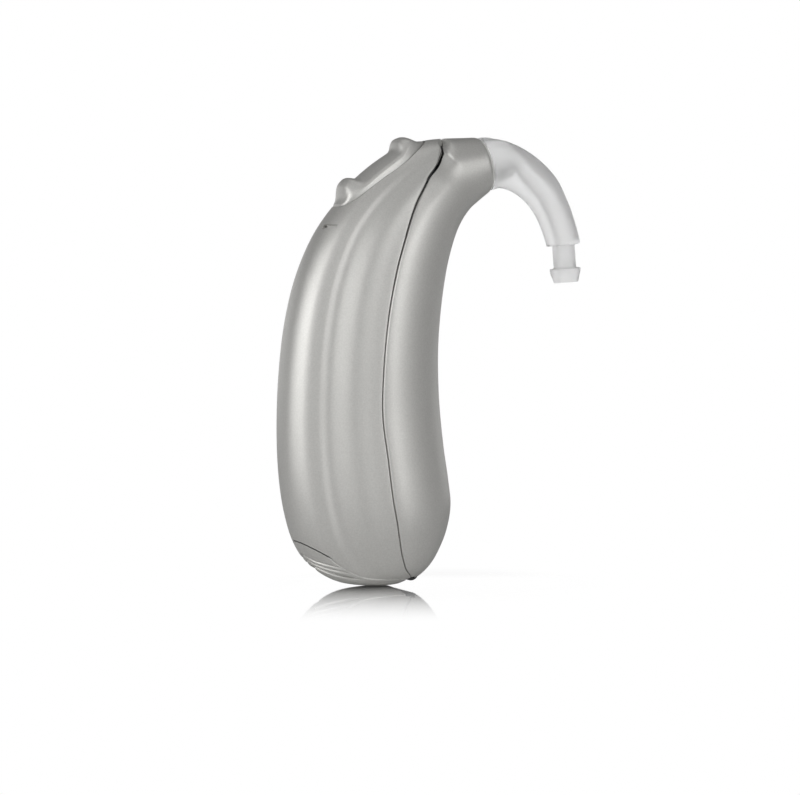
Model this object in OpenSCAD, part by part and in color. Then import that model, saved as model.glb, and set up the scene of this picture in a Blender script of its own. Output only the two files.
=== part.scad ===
// Behind the ear hearing aid with a clear ear hook.
// Millimetres. X runs from the spine to the ear hook, Y across the casing, Z up.
// The casing stands on its lower end at Z = 0, and the side view is drawn in X and Z.

/* [Casing] */

// Height of the casing
body_height = 44.4; // [36:0.1:56]
// Depth of the casing, spine to front, at mid height
body_depth = 16.6; // [13:0.1:20]
// Greatest thickness across the casing
body_thickness = 11.4; // [10:0.1:15]
// Casing wall
wall = 0.9; // [0.7:0.05:1.2]
// Gap along the parting line
seam_gap = 0.12; // [0.05:0.01:0.25]
// Depth of the dark notch over the front microphone
notch_depth = 0.7; // [0.3:0.05:1]

/* [Neck and sound spout] */

// Diameter of the round neck face that the hook sits on
neck_diameter = 5.7; // [4.5:0.1:7]
// Tilt of the neck axis above the horizontal, in degrees
neck_tilt = 14; // [5:1:25]
// Thickness of the neck's end wall
neck_wall = 1.1; // [0.8:0.1:1.6]
// Outer diameter of the spout thread
thread_diameter = 2.9; // [2.4:0.05:3.2]
// Core diameter of the spout
spout_core = 2.4; // [2:0.05:2.6]
// Thread pitch
thread_pitch = 0.5; // [0.35:0.05:0.7]
// Length of the spout beyond the neck face
spout_length = 3; // [2:0.1:3.4]
// Sound bore
sound_bore = 1.3; // [0.8:0.05:1.5]
// Thickness of the sealing washer
seal_thickness = 0.3; // [0.2:0.05:0.5]

/* [Ear hook] */

// Reach of the hook, neck face to tip
hook_reach = 9.4; // [7:0.1:12]
// Drop of the hook, neck face to the shoulder above the tip
hook_drop = 7.7; // [6:0.1:11]
// Diameter of the hook just above its shoulder
hook_end_diameter = 3.4; // [3:0.05:4]
// Diameter of the waist that the tubing passes over
waist_diameter = 2.28; // [2:0.02:2.6]
// Length of the waist
waist_length = 2.3; // [1.5:0.1:4]
// Diameter of the barb's land, the tubing's press fit
barb_diameter = 3.14; // [2.8:0.02:3.6]
// Length of the barb's land
barb_land = 0.35; // [0.3:0.05:0.8]
// Length of the barb's taper
barb_taper = 1.1; // [0.6:0.1:2]
// Diameter of the hook's end
barb_end_diameter = 2.45; // [2.2:0.05:2.7]
// Clearance of the hook around the thread
socket_clearance = 0.05; // [0.03:0.01:0.1]

/* [Rocker switch] */

// Length of the rocker along the spine
rocker_length = 11.3; // [9:0.1:13]
// Width of the rocker
rocker_width = 4.6; // [3.6:0.1:5.4]
// Thickness of the rocker cap
rocker_thickness = 0.8; // [0.6:0.05:1.1]
// Height of the cap above the spine
rocker_proud = 0.35; // [0.2:0.05:0.6]
// Gap around the rocker
rocker_gap = 0.15; // [0.1:0.01:0.25]
// Height of the finger nubs
nub_height = 0.85; // [0.4:0.05:1.2]
// Width of a finger nub
nub_width = 1.9; // [1.2:0.1:2.4]
// Distance between the finger nubs
nub_spacing = 7.3; // [6:0.1:8.5]
// Diameter of the rocker's pivot pin
pivot_diameter = 0.7; // [0.5:0.05:0.9]
// Distance between the switch plungers
plunger_spacing = 5.6; // [5:0.1:6.4]
// Plunger diameter
plunger_diameter = 1; // [0.7:0.05:1.4]

/* [Battery and door] */

// Diameter of the zinc-air cell, size 13
cell_diameter = 7.9; // [7.7:0.05:7.9]
// Height of the cell
cell_height = 5.4; // [5.1:0.05:5.4]
// Radial room around the cell in the door's cradle
cell_room = 0.06; // [0.04:0.01:0.15]
// Width of the door
door_width = 5.9; // [5.6:0.1:6.6]
// Thickness of the door
door_thickness = 0.6; // [0.5:0.05:0.8]
// Gap around the door
door_gap = 0.25; // [0.15:0.05:0.35]
// Distance from the hinge axis to the door's free edge
door_reach = 9.62; // [9.4:0.01:10]
// Diameter of the hinge pin
hinge_pin_diameter = 0.8; // [0.6:0.05:1]
// Diameter of the hinge knuckle
knuckle_diameter = 1.6; // [1.4:0.05:1.8]
// Width of the knuckle
knuckle_width = 2.8; // [2:0.1:3.2]
// Radial clearance of the pins in their turning bores
pin_clearance = 0.04; // [0.02:0.01:0.08]

/* [Electronics] */

// Length of the receiver
receiver_length = 6.6; // [5:0.1:8]
// Depth of the receiver
receiver_depth = 3.6; // [3:0.1:4.4]
// Thickness of the receiver
receiver_thickness = 2.9; // [2.2:0.1:3.4]
// Wall of the receiver's rubber boot
boot_wall = 0.4; // [0.3:0.05:0.6]
// Diameter of the receiver's tube
tube_diameter = 1.6; // [1.3:0.05:1.8]
// Length of a microphone
mic_length = 2.4; // [1.8:0.1:2.4]
// Width of a microphone
mic_width = 2.5; // [2:0.1:2.8]
// Thickness of a microphone
mic_thickness = 1.2; // [0.9:0.05:1.4]
// Length of the telecoil
coil_length = 7; // [5:0.1:9]
// Diameter of the telecoil's winding
coil_diameter = 1.8; // [1.4:0.05:2.2]
// Thickness of the circuit board
board_thickness = 0.5; // [0.3:0.05:0.8]
// Thickness of the chassis plate
chassis_thickness = 0.8; // [0.6:0.05:1]

/* [Hidden] */

overrun = 0.4;
touch = 0.02;
cell_fine = 64;
round_fine = 32;

// Side view of the spine and of the front, from the lower end up, as shares of depth and height.
middle_share = 0.471;
spine_shares = [
  [0.312, 0.0158], [0.208, 0.0027], [0.060, 0.000], [-0.142, 0.0113], [-0.302, 0.0473],
  [-0.398, 0.0946], [-0.458, 0.162], [-0.494, 0.2455], [-0.507, 0.349], [-0.495, 0.471],
  [-0.455, 0.592], [-0.380, 0.698], [-0.259, 0.793], [-0.084, 0.874], [0.139, 0.944],
  [0.390, 0.992]
];
front_shares = [
  [0.312, 0.0158], [0.370, 0.028], [0.437, 0.053], [0.489, 0.083], [0.539, 0.126],
  [0.564, 0.180], [0.548, 0.239], [0.517, 0.3176], [0.491, 0.419], [0.485, 0.5225],
  [0.503, 0.615], [0.539, 0.703], [0.587, 0.769], [0.6355, 0.8097], [0.696, 0.840],
  [0.753, 0.858]
];
neck_place_shares = [0.785, 0.942];
// Half thickness at each station, as shares of the full thickness.
half_thickness_shares = [0, 0.193, 0.316, 0.404, 0.456, 0.491, 0.5, 0.491, 0.478, 0.474, 0.465,
  0.452, 0.430, 0.395, 0.346, 0.294];
// How far each station's section has turned into an ellipse.
round_shares = [1, 0.8, 0.5, 0.25, 0.08, 0, 0, 0, 0, 0, 0, 0, 0.05, 0.2, 0.45, 0.75, 1];
// Half of the casing's section, spine to front, every 15 degrees, with the flute behind the spine.
section_shares = [
  [-1, 0], [-0.965, 0.30], [-0.84, 0.545], [-0.68, 0.645], [-0.52, 0.690], [-0.29, 0.855],
  [-0.06, 0.935], [0.20, 0.995], [0.47, 0.940], [0.70, 0.79], [0.86, 0.57], [0.965, 0.29], [1, 0]
];
// Where the parting line crosses each station, as shares of the half turn from spine to front.
seam_shares = [0.5, 0.511, 0.536, 0.555, 0.55, 0.539, 0.536, 0.539, 0.542, 0.547, 0.55, 0.55,
  0.539, 0.50, 0.433, 0.297];
seam_top_share = 0.962;
rocker_end_shares = [0.789, 0.940];

stations = len(spine_shares);

// Point of the side view from shares of depth and height.
function side(share) = [body_depth * (share.x - middle_share), body_height * share.y];
function mix(a, b, f) = a + (b - a) * f;
function aim(angle) = [cos(angle), sin(angle)];

neck_centre = side(neck_place_shares);
neck_radius = neck_diameter / 2;
neck_up = aim(neck_tilt + 90);

// Lists with one more value at each end, so a smooth curve runs through every value between.
function carried(list, before) = concat([before], list, [2 * list[len(list) - 1] - list[len(list) - 2]]);
spine_line = carried(
  concat([for (share = spine_shares) side(share)], [neck_centre + neck_radius * neck_up]),
  side(front_shares[1]));
front_line = carried(
  concat([for (share = front_shares) side(share)], [neck_centre - neck_radius * neck_up]),
  side(spine_shares[1]));
half_line = carried(
  concat([for (share = half_thickness_shares) body_thickness * share], [neck_radius]),
  -body_thickness * half_thickness_shares[1]);
round_line = carried(round_shares, 1);
seam_line = carried(concat(seam_shares, [-seam_shares[stations - 1]]), seam_shares[1]);

// Catmull-Rom value of such a list at a station, which need not be whole.
function at(list, station) =
  let (
    i = max(0, min(floor(station), len(list) - 4)),
    f = station - i,
    a = list[i], b = list[i + 1], c = list[i + 2], d = list[i + 3]
  )
  b + f / 2 * (c - a + f * (2 * a - 5 * b + 4 * c - d + f * (3 * b - a - 3 * c + d)));

// The section's shares at an angle from the spine, 0 to 180, smooth across both ends.
section_steps = len(section_shares) - 1;
section_line = concat(
  [[section_shares[1].x, -section_shares[1].y]], section_shares,
  [[section_shares[section_steps - 1].x, -section_shares[section_steps - 1].y]]);
function section(angle) = at(section_line, angle / 180 * section_steps);

// Point of the casing's skin at a station and an angle round it, set in by a distance.
// Angles under 180 are on the near side, Y below zero.
function skin(station, angle, inset = 0) =
  let (
    back = at(spine_line, station),
    face = at(front_line, station),
    along = (face - back) / norm(face - back),
    half = norm(face - back) / 2 - inset,
    across = at(half_line, station) - inset,
    folded = angle > 180 ? 360 - angle : angle,
    side_sign = angle > 180 ? 1 : -1,
    roundness = max(0, min(1, at(round_line, station))),
    shape = mix(section(folded), [-cos(folded), sin(folded)], roundness),
    flat = (back + face) / 2 + along * half * shape.x
  )
  [flat.x, side_sign * across * shape.y, flat.y];

// Point inside the casing: station, then a share from spine (-1) to front (1).
function inside(station, share) = mix(at(spine_line, station), at(front_line, station), (1 + share) / 2);
function section_tilt(station) =
  let (d = at(front_line, station) - at(spine_line, station)) atan2(d.y, d.x);

// Lofted solid from rings of points, closed with flat ends.
module loft(rings) {
  n = len(rings[0]);
  last = len(rings) - 1;
  polyhedron(
    points = [for (ring = rings) each ring],
    faces = concat(
      [[for (j = [n - 1:-1:0]) j]],
      [for (i = [0:last - 1], j = [0:n - 1]) each [
        [i * n + j, i * n + (j + 1) % n, (i + 1) * n + (j + 1) % n],
        [i * n + j, (i + 1) * n + (j + 1) % n, (i + 1) * n + j]
      ]],
      [[for (j = [0:n - 1]) last * n + j]]
    ),
    convexity = 6
  );
}

// Rings of the casing between two stations.
function skin_rings(places, sides, inset) =
  [for (s = places) [for (j = [0:sides - 1]) skin(s, 360 - 360 * j / sides, inset)]];

// Rings of a round tube along a side-view path with a radius at each station.
function tube_rings(path, radii, places, sides) =
  [for (s = places)
    let (
      middle = at(path, s),
      ahead = at(path, s + touch) - at(path, s - touch),
      dir = ahead / norm(ahead),
      r = at(radii, s)
    )
    [for (j = [0:sides - 1])
      let (angle = 360 * j / sides)
      [middle.x - dir.y * r * cos(angle), r * sin(angle), middle.y + dir.x * r * cos(angle)]]];

// Frames that parts are built in.
module on_neck() {
  translate([neck_centre.x, 0, neck_centre.y]) rotate([0, 90 - neck_tilt, 0]) children();
}
module in_body(station, share, y = 0) {
  spot = inside(station, share);
  translate([spot.x, y, spot.y]) rotate([0, -section_tilt(station), 0]) children();
}
module block(size) {
  translate(-size / 2) cube(size);
}
// A side-view shape as a plate between two Y places.
module plate(y_from, y_to) {
  translate([0, y_to, 0]) rotate([90, 0, 0]) linear_extrude(y_to - y_from) children();
}
// A round bar across the casing, centred on Y = 0.
module bar(place, radius, width) {
  translate([place.x, 0, place.y]) rotate([90, 0, 0])
    cylinder(r = radius, h = width, center = true, $fn = round_fine);
}

// Rocker frame: X along the chord of its stretch of spine, Z outward.
rocker_places = [for (share = rocker_end_shares) share * stations];
rocker_low = at(spine_line, rocker_places[0]);
rocker_high = at(spine_line, rocker_places[1]);
rocker_middle = (rocker_low + rocker_high) / 2;
rocker_chord = (rocker_high - rocker_low) / norm(rocker_high - rocker_low);
rocker_tilt = atan2(rocker_chord.y, rocker_chord.x);
module on_rocker() {
  translate([rocker_middle.x, 0, rocker_middle.y]) rotate([0, -rocker_tilt, 0]) children();
}
// The spine seen in the rocker frame: distance along the chord and height over it.
function chord_view(place) =
  let (p = place - rocker_middle)
  [p * rocker_chord, p * [-rocker_chord.y, rocker_chord.x]];

// Door frame values.
hinge_place_shares = [0.274, 0.0304];
hinge_place = side(hinge_place_shares);
cell_bearing = 141.3;
cell_offset_share = 0.606;
cell_place = hinge_place + door_reach * cell_offset_share * aim(cell_bearing);
cell_radius = cell_diameter / 2;
door_opening_reach = door_reach + door_gap;
hinge_relief = knuckle_diameter / 2 + door_gap;
lug_width = 0.8;
lug_gap = 0.15;
cradle_wall = 0.45;

casing_places = concat([0.12, 0.3, 0.6], [for (i = [1:0.5:4]) i], [for (i = [4.6:0.6:11.8]) i],
  [for (i = [12.25:0.375:16]) i]);
casing_sides = 30;
gasket_places = [for (s = casing_places) if (s > 0.5 && s < stations) s];
cavity_first = 2.15;
cavity_last = stations - neck_wall / norm(inside(stations, 0) - inside(stations - 1, 0));
cavity_places = concat([cavity_first, 2.7, 3.3, 4], [for (i = [5:1:12]) i], [for (i = [12.75:0.75:15]) i],
  [cavity_last]);
cavity_sides = 22;

module casing_solid() {
  loft(skin_rings(casing_places, casing_sides, 0));
}
module casing_cavity() {
  loft(skin_rings(cavity_places, cavity_sides, wall));
}

// Side view of everything behind the parting line, shifted towards the front by a gap.
seam_steps = 32;
seam_last = stations * seam_top_share;
function seam_point(station, shift) =
  let (
    angle = 180 * max(0, at(seam_line, station)),
    p = skin(station, angle),
    d = section_tilt(station)
  )
  [p.x, p.z] + shift * aim(d);
module rear_side(shift) {
  path = [for (i = [0:seam_steps]) seam_point(max(touch, seam_last * i / seam_steps), shift)];
  plate(-body_thickness, body_thickness)
    polygon(concat(path, [
      [path[seam_steps].x, body_height + wall],
      [-body_depth, body_height + wall],
      [-body_depth, -wall],
      [path[0].x, -wall]
    ]));
}

// Plan of the rocker in its own frame: blunt at the low end, drawn out at the high end.
blunt_share = 3.4;
drawn_share = 2.2;
function rocker_half(reach) =
  let (
    t = max(-1, min(1, reach * 2 / rocker_length)),
    power = t < 0 ? blunt_share : drawn_share
  )
  rocker_width / 2 * pow(1 - pow(abs(t), power), 1 / power);
rocker_steps = 24;
function rocker_reach(i) = -cos(180 * i / rocker_steps) * rocker_length / 2;
module rocker_plan() {
  polygon(concat(
    [for (i = [0:rocker_steps]) [rocker_reach(i), -rocker_half(rocker_reach(i))]],
    [for (i = [rocker_steps - 1:-1:1]) [rocker_reach(i), rocker_half(rocker_reach(i))]]));
}
rocker_pit = 2.6;
module rocker_pocket() {
  on_rocker() translate([0, 0, -rocker_pit])
    linear_extrude(rocker_pit * 2) offset(delta = rocker_gap) rocker_plan();
}

// Side outline of the door: a slanted free edge over the thumb grip, then down to the hinge.
door_top_place = [5.15, 0];
door_side_place = [4.2, 36];
door_low_bearing = 222;
door_far_bearing = 300;
cell_first_bearing = 141;
function flat(point) = [point.x, point.z];
function door_outline(gap) =
  let (
    top = flat(skin(door_top_place[0], door_top_place[1])),
    low = flat(skin(door_side_place[0], door_side_place[1])),
    run = (low - top) / norm(low - top),
    up = [-run.y, run.x] * gap
  )
  [top - run * wall + up, low + up, [hinge_place.x, low.y + gap], hinge_place];
module door_opening() {
  plate(-door_width / 2 - door_gap, door_width / 2 + door_gap)
    polygon(concat(door_outline(door_gap), [for (b = [door_far_bearing:-20:door_low_bearing])
      hinge_place + door_opening_reach * aim(b)], [[-body_depth, -wall]]));
  plate(-cell_height / 2 - lug_gap, cell_height / 2 + lug_gap)
    translate(hinge_place) polygon(concat([[0, 0]],
      [for (b = [cell_first_bearing:4:door_far_bearing]) door_opening_reach * aim(b)]));
  bar(hinge_place, hinge_relief, 2 * (lug_width + lug_gap) + knuckle_width + door_gap);
}

// A V groove that follows the skin across the spine: station at the spine, station at the sides.
groove_half_turn = 37;
groove_steps = 10;
module skin_groove(middle_station, side_station, width, depth) {
  loft([for (i = [0:groove_steps])
    let (
      turn = mix(-groove_half_turn, groove_half_turn, i / groove_steps),
      s = mix(middle_station, side_station, abs(turn) / groove_half_turn),
      a = turn < 0 ? -turn : 360 - turn,
      half = width / norm(skin(5, 0) - skin(4, 0)) / 2
    )
    [skin(s, a, -depth / 2), skin(s - half, a, 0), skin(s, a, depth), skin(s + half, a, 0)]]);
}
// Thumb grip on the door: a deep groove over the lip and two fine ridges above it.
grip_grooves = [[4.02, 3.1], [4.34, 3.5], [4.62, 3.78]];
grip_widths = [0.42, 0.26, 0.26];
grip_depths = [0.3, 0.14, 0.14];
module thumb_grip() {
  for (i = [0:len(grip_grooves) - 1])
    skin_groove(grip_grooves[i][0], grip_grooves[i][1], grip_widths[i], grip_depths[i]);
}

// Rear microphone slot beside the spine.
slot_radius = 0.28;
module rear_slot() {
  hull() {
    translate(skin(12.06, 8)) sphere(r = slot_radius, $fn = 16);
    translate(skin(12.1, 24)) sphere(r = slot_radius * 0.6, $fn = 16);
  }
  hull() {
    translate(skin(12.06, 8)) sphere(r = slot_radius * 0.6, $fn = 16);
    translate(skin(12.06, 8, wall * 1.6)) sphere(r = slot_radius * 0.6, $fn = 16);
  }
}

// Front microphone notch: a scoop across the top that tapers away down the parting line.
notch_stations = [15.42, 15.2, 14.95, 14.5, 13.9];
notch_widths = [0.62, 0.5, 0.36, 0.22, 0.1];
module front_notch() {
  for (turn = [-1, 1], i = [0:len(notch_stations) - 2])
    hull() for (k = [i, i + 1]) {
      s = notch_stations[k];
      translate(skin(s, k == 0 ? 0 : 180 + turn * (180 - 180 * at(seam_line, s))))
        sphere(r = notch_depth * notch_widths[k], $fn = 16);
    }
  hull() for (inset = [0, 2 * wall])
    translate(skin(notch_stations[0], 0, inset)) sphere(r = notch_depth * notch_widths[2], $fn = 16);
}

module rear_housing() {
  color([0.66, 0.65, 0.63]) {
    difference() {
      intersection() {
        difference() {
          casing_solid();
          casing_cavity();
        }
        rear_side(-seam_gap / 2);
      }
      rocker_pocket();
      door_opening();
      rear_slot();
      front_notch();
    }
  }
}

module front_housing() {
  color([0.62, 0.61, 0.59]) {
    difference() {
      casing_solid();
      casing_cavity();
      rear_side(seam_gap / 2);
      door_opening();
      front_notch();
      on_neck() translate([0, 0, -neck_radius])
        cylinder(d = spout_core + 2 * socket_clearance, h = neck_diameter, $fn = round_fine);
    }
  }
}

// Sealing strip that fills the parting line between the two housings, set in from the skin.
gasket_inset = 0.25;
gasket_fill_share = 0.35;
module casing_gasket() {
  color([0.2, 0.2, 0.2])
    difference() {
      intersection() {
        loft(skin_rings(gasket_places, casing_sides, gasket_inset));
        rear_side(seam_gap * gasket_fill_share);
      }
      rear_side(-seam_gap * gasket_fill_share);
      casing_cavity();
      door_opening();
      rocker_pocket();
      front_notch();
    }
}

// Rocker: a cap that follows the spine, two finger nubs and a lug with the pivot bore.
ridge_heights = [for (s = [12.2:0.1:15.5]) chord_view(at(spine_line, s))];
function ridge(reach) = lookup(reach, ridge_heights);
crown_radius = 4;
function crown(y) = y * y / (2 * crown_radius);
function nub(reach, y) =
  let (
    low = norm([reach + nub_spacing / 2, y]),
    high = norm([reach - nub_spacing / 2, y])
  )
  nub_height * exp(-pow(min(low, high) / (nub_width * 0.56), 4));
function cap_rise(reach) = rocker_proud * (1 - pow(abs(reach * 2 / rocker_length), 4));
function cap_top(reach, y) = ridge(reach) + cap_rise(reach) - crown(y) + nub(reach, y);
function cap_under(reach, y) = ridge(reach) + rocker_proud - rocker_thickness - crown(y);
cap_shares = concat([-0.498, -0.49, -0.476], [for (i = [-0.46:0.0288:0.461]) i], [0.476, 0.49, 0.498]);
cap_columns = 12;
pivot_drop = 1.65;
pivot_height = ridge(0) - pivot_drop;
lug_radius = 0.65;
rocker_lug_width = 1.5;
pivot_radius = pivot_diameter / 2;
module cross_bar(radius, width) {
  rotate([90, 0, 0]) cylinder(r = radius, h = width, center = true, $fn = round_fine);
}
module rocker_button() {
  color([0.6, 0.59, 0.57])
    on_rocker() difference() {
      union() {
        loft([for (share = cap_shares)
          let (t = share * rocker_length, w = rocker_half(t))
          concat(
            [for (j = [0:cap_columns]) let (y = mix(-w, w, j / cap_columns)) [t, y, cap_top(t, y)]],
            [for (j = [4:-1:0]) let (y = mix(-w, w, j / 4)) [t, y, cap_under(t, y)]]
          )]);
        translate([0, 0, pivot_height]) cross_bar(lug_radius, rocker_lug_width);
        translate([-lug_radius, -rocker_lug_width / 2, pivot_height])
          cube([2 * lug_radius, rocker_lug_width, pivot_drop + rocker_proud - rocker_thickness / 2]);
      }
      translate([0, 0, pivot_height]) cross_bar(pivot_radius + pin_clearance, rocker_lug_width + overrun);
    }
}

ear_gap = 0.15;
ear_width = 0.6;
ear_seat = 0.01;
module rocker_pivot_pin() {
  color([0.8, 0.8, 0.82])
    on_rocker() translate([0, 0, pivot_height])
      cross_bar(pivot_radius, rocker_lug_width + 2 * (ear_gap + ear_width));
}

// Push switches under each end of the rocker.
switch_size = [1.6, 2.4, 1.3];
plunger_gap = 0.05;
plunger_stand = 0.75;
plunger_sink = 0.45;
function plunger_top(reach) =
  min(cap_under(reach - plunger_diameter / 2, 0), cap_under(reach + plunger_diameter / 2, 0))
  - crown(plunger_diameter / 2) - plunger_gap;
module plunger(reach) {
  on_rocker() translate([reach, 0, plunger_top(reach) - plunger_stand - plunger_sink])
    cylinder(d = plunger_diameter, h = plunger_stand + plunger_sink, $fn = round_fine);
}
function switch_top(reach) = plunger_top(reach) - plunger_stand;
module switch_body(reach) {
  on_rocker() difference() {
    translate([reach, 0, switch_top(reach) - switch_size.z / 2]) block(switch_size);
    translate([reach, 0, switch_top(reach) - plunger_sink * 2])
      cylinder(r = plunger_diameter / 2 + pin_clearance, h = plunger_sink * 2 + overrun, $fn = round_fine);
  }
}
module up_plunger() {
  color([0.85, 0.85, 0.8]) plunger(plunger_spacing / 2);
}
module down_plunger() {
  color([0.85, 0.85, 0.8]) plunger(-plunger_spacing / 2);
}
module up_switch() {
  color([0.15, 0.15, 0.16]) switch_body(plunger_spacing / 2);
}
module down_switch() {
  color([0.15, 0.15, 0.16]) switch_body(-plunger_spacing / 2);
}

// Battery door: a strip of the casing's own skin with a cradle for the cell and the hinge knuckle.
cradle_width = 4;
web_reach = 2.4;
web_low_bearing = 205;
hinge_pin_radius = hinge_pin_diameter / 2;
end_places = concat([0.12, 0.3, 0.6], [for (i = [1:0.5:4]) i], [4.6, 5.2, 5.8]);
end_inner_places = [1.15, 1.6, 2.2, 3, 4, 5, 5.8];
module cell_slice(from_angle, to_angle, reach) {
  polygon(concat([[0, 0]], [for (i = [0:8]) reach * aim(mix(from_angle, to_angle, i / 8))]));
}
module door_strip() {
  difference() {
    intersection() {
      loft(skin_rings(end_places, casing_sides, 0));
      plate(-door_width / 2, door_width / 2)
        polygon(concat(door_outline(0), [hinge_place + door_reach * aim(door_low_bearing), [-body_depth, -wall]]));
    }
    loft(skin_rings(end_inner_places, cavity_sides, door_thickness));
    bar(hinge_place, hinge_relief, door_width + overrun);
    thumb_grip();
  }
}
module battery_door() {
  color([0.6, 0.59, 0.57])
    difference() {
      union() {
        door_strip();
        plate(-cradle_width / 2, cradle_width / 2) intersection() {
          translate(cell_place) difference() {
            circle(r = cell_radius + cell_room + cradle_wall, $fn = cell_fine);
            circle(r = cell_radius + cell_room, $fn = cell_fine);
          }
          translate(cell_place) cell_slice(180, 385, cell_diameter);
          translate(hinge_place) circle(r = door_reach, $fn = cell_fine);
        }
        plate(-knuckle_width / 2, knuckle_width / 2)
          translate(hinge_place) cell_slice(158, web_low_bearing, web_reach);
        bar(hinge_place, knuckle_diameter / 2, knuckle_width);
      }
      bar(cell_place, cell_radius + cell_room, cell_height + 2 * lug_gap);
      bar(hinge_place, hinge_pin_radius + pin_clearance, knuckle_width + overrun);
    }
}
module door_hinge_pin() {
  color([0.8, 0.8, 0.82])
    bar(hinge_place, hinge_pin_radius, knuckle_width + 2 * (lug_gap + lug_width));
}

// Zinc-air cell: can, sealing ring and cap. Z runs towards the cap, on the near side.
can_edge = 0.5;
can_rim = 0.8;
can_shoulder = 0.3;
cap_radius_share = 0.83;
ring_wall = 0.25;
air_hole_radius = 0.2;
module on_cell() {
  translate([cell_place.x, 0, cell_place.y]) rotate([90, 0, 0]) children();
}
cap_radius = cell_radius * cap_radius_share;
module battery_can() {
  floor_z = -cell_height / 2;
  rim_z = cell_height / 2 - can_rim;
  color([0.78, 0.78, 0.78])
    on_cell() difference() {
      rotate_extrude($fn = cell_fine)
        polygon([[0, floor_z], [cell_radius - can_edge, floor_z], [cell_radius, floor_z + can_edge],
          [cell_radius, rim_z], [cell_radius - can_shoulder, rim_z + can_shoulder],
          [cap_radius + ring_wall, rim_z + can_shoulder], [cap_radius + ring_wall, rim_z - can_edge],
          [0, rim_z - can_edge]]);
      for (turn = [0:90:270])
        rotate([0, 0, turn]) translate([cell_radius / 3, 0, floor_z - overrun])
          cylinder(r = air_hole_radius, h = 2 * overrun, $fn = 16);
    }
}
module battery_seal() {
  rim_z = cell_height / 2 - can_rim;
  color([0.2, 0.35, 0.3])
    on_cell() rotate_extrude($fn = cell_fine)
      translate([cap_radius, rim_z - can_edge]) square([ring_wall, can_edge + can_shoulder]);
}
module battery_cap() {
  rim_z = cell_height / 2 - can_rim;
  color([0.82, 0.82, 0.8])
    on_cell() rotate_extrude($fn = cell_fine)
      polygon([[0, rim_z - can_edge], [cap_radius, rim_z - can_edge], [cap_radius, cell_height / 2 - can_shoulder],
        [cap_radius - can_shoulder, cell_height / 2], [0, cell_height / 2]]);
}

// Contact springs: flat strips that lie against the two faces of the cell.
contact_thickness = 0.15;
contact_gap = 0.1;
contact_width = 1.5;
contact_boss_radius = 0.55;
contact_y = cell_height / 2 + contact_gap;
contact_root_shares = [[6.95, 0.02], [6.4, 0.60]];
function contact_root(i) = inside(contact_root_shares[i].x, contact_root_shares[i].y);
module contact_strip(root) {
  run = cell_place - root;
  reach = norm(run) - cell_radius / 3;
  translate(root) rotate(atan2(run.y, run.x)) {
    translate([0, -contact_width / 2]) square([reach, contact_width]);
    circle(d = contact_width, $fn = round_fine);
    translate([reach, 0]) circle(d = contact_width, $fn = round_fine);
  }
}
module positive_contact() {
  color([0.85, 0.7, 0.35]) plate(contact_y, contact_y + contact_thickness) contact_strip(contact_root(0));
}
module negative_contact() {
  color([0.85, 0.7, 0.35]) plate(-contact_y - contact_thickness, -contact_y) contact_strip(contact_root(1));
}

// Chassis: a side plate, a bridge and two arms down to the hinge, a shelf and ears under the rocker.
plate_y = knuckle_width / 2 + lug_gap;
plate_end = plate_y + chassis_thickness;
frame_top_station = 14;
frame_spine_shares = [[6.6, -0.50], [8, -0.52], [9.5, -0.52], [11, -0.52], [12.2, -0.52], [13.2, -0.48],
  [frame_top_station, -0.40]];
frame_front_shares = [[frame_top_station, 0.10], [13.2, 0.25], [12.2, 0.40], [11, 0.52], [9.5, 0.58],
  [8, 0.60], [6.9, 0.62]];
arm_front_shares = [[7.1, 0.6], [6.2, 0.66], [5, 0.62], [4, 0.60], [3.2, 0.60]];
arm_back_shares = [[3.4, 0.38], [4, 0.42], [5, 0.41], [6, 0.42], [7.1, 0.44]];
module inner_outline(shares) {
  polygon([for (share = shares) inside(share.x, share.y)]);
}
bridge_shares = [[6.35, 0.47], [6.35, 0.68], [7, 0.66], [7, 0.46]];
module hinge_arm(y_from, y_to) {
  plate(y_from, y_to) {
    polygon(concat([for (share = arm_front_shares) inside(share.x, share.y)],
      [hinge_place + knuckle_diameter / 2 * aim(0), hinge_place + knuckle_diameter / 2 * aim(150)],
      [for (share = arm_back_shares) inside(share.x, share.y)]));
    translate(hinge_place) circle(r = knuckle_diameter / 2, $fn = round_fine);
  }
}
shelf_reach = 3.45;
shelf_thickness = 0.6;
lower_switch_top = min(switch_top(-plunger_spacing / 2), switch_top(plunger_spacing / 2));
shelf_low = lower_switch_top - switch_size.z - shelf_thickness;
ear_y = rocker_lug_width / 2 + ear_gap + ear_width / 2;
ear_radius = 0.75;
module chassis() {
  color([0.25, 0.26, 0.28])
    difference() {
      union() {
        plate(plate_y, plate_end) inner_outline(concat(frame_spine_shares, frame_front_shares));
        on_rocker() {
          translate([-shelf_reach, -switch_size.y / 2, shelf_low])
            cube([2 * shelf_reach, switch_size.y / 2 + plate_end, shelf_thickness]);
          for (turn = [-1, 1]) {
            translate([-ear_radius, turn * ear_y - ear_width / 2, shelf_low])
              cube([2 * ear_radius, ear_width, pivot_height - shelf_low]);
            translate([0, turn * ear_y, pivot_height]) cross_bar(ear_radius, ear_width);
          }
        }
        plate(plate_y, contact_y) translate(contact_root(0)) circle(r = contact_boss_radius, $fn = round_fine);
        plate(-contact_y, -plate_y) translate(contact_root(1)) circle(r = contact_boss_radius, $fn = round_fine);
        plate(-plate_end, plate_end) inner_outline(bridge_shares);
        hinge_arm(plate_y, plate_end);
        hinge_arm(-plate_end, -plate_y);
      }
      on_rocker() translate([0, 0, pivot_height]) cross_bar(pivot_radius + ear_seat, body_thickness);
      bar(hinge_place, hinge_pin_radius + ear_seat, body_thickness);
      for (i = [0, 1]) mic_at(i) block(boot_size + 2 * mic_relief * [1, 1, 1]);
    }
}

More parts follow.
